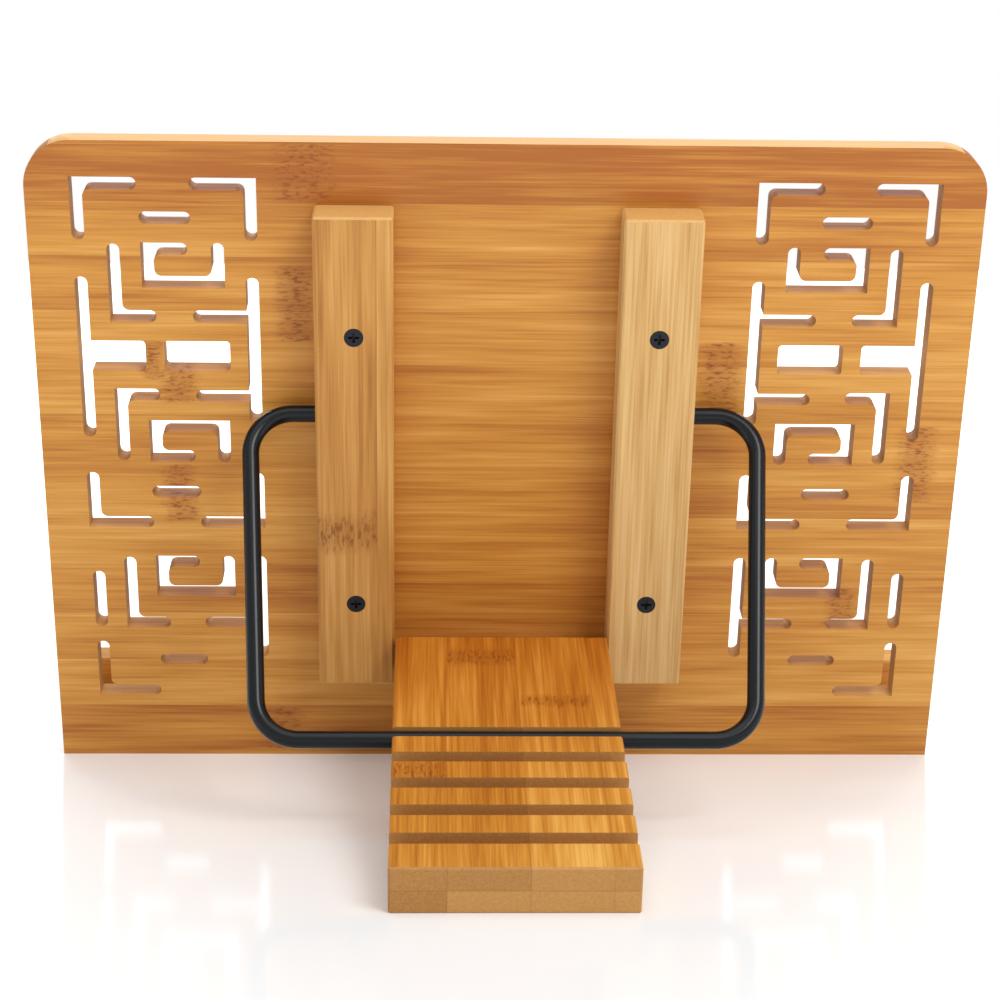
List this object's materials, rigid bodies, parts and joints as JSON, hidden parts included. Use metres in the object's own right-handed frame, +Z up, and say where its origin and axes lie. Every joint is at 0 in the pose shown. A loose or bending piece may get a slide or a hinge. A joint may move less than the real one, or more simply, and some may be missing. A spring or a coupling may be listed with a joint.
{
  "type": "photo album stand",
  "caption": "Folding bamboo album stand: a pierced back panel with a ledge at its foot leans on a slotted tail board, held at its angle by a wire bail.",
  "frame": {"origin": "on the floor, midway across the stand and midway between the lip's front and the tail board's far end, as it stands open", "axes": "+Z up, +X to the right seen from the front, +Y towards the back, where the tail board is; the panel leans back towards +Y"},
  "size_m": [0.34, 0.2372, 0.2403],
  "materials": {
    "bamboo": "satin",
    "bamboo_pale": "satin",
    "bamboo_dark": "satin",
    "black_steel": "satin",
    "bare_steel": "brushed"
  },
  "bodies": {
    "stand": {"back_panel": "bamboo", "ledge": "bamboo", "ledge_lip": "bamboo_pale", "batten_left": "bamboo_pale", "batten_right": "bamboo_pale", "hinge_pin_left": "bare_steel", "hinge_pin_right": "bare_steel", "screw_upper_left": "black_steel", "screw_upper_right": "black_steel", "screw_lower_left": "black_steel", "screw_lower_right": "black_steel", "ledge_dowels": "bamboo_pale", "lip_dowels": "bamboo_pale"},
    "tail": {"tail_board": "bamboo_dark"},
    "bail": {"bail": "black_steel"}
  },
  "joints": [
    {"name": "tail_hinge", "type": "hinge", "parent": "stand", "child": "tail", "pos_m": [0, -0.05111, 0.0474], "axis": [1, 0, 0], "range_deg": [-28, 0]},
    {"name": "bail_pivot", "type": "hinge", "parent": "stand", "child": "bail", "pos_m": [0, -0.02792, 0.14033], "axis": [1, 0, 0], "range_deg": [0, 134]}
  ]
}
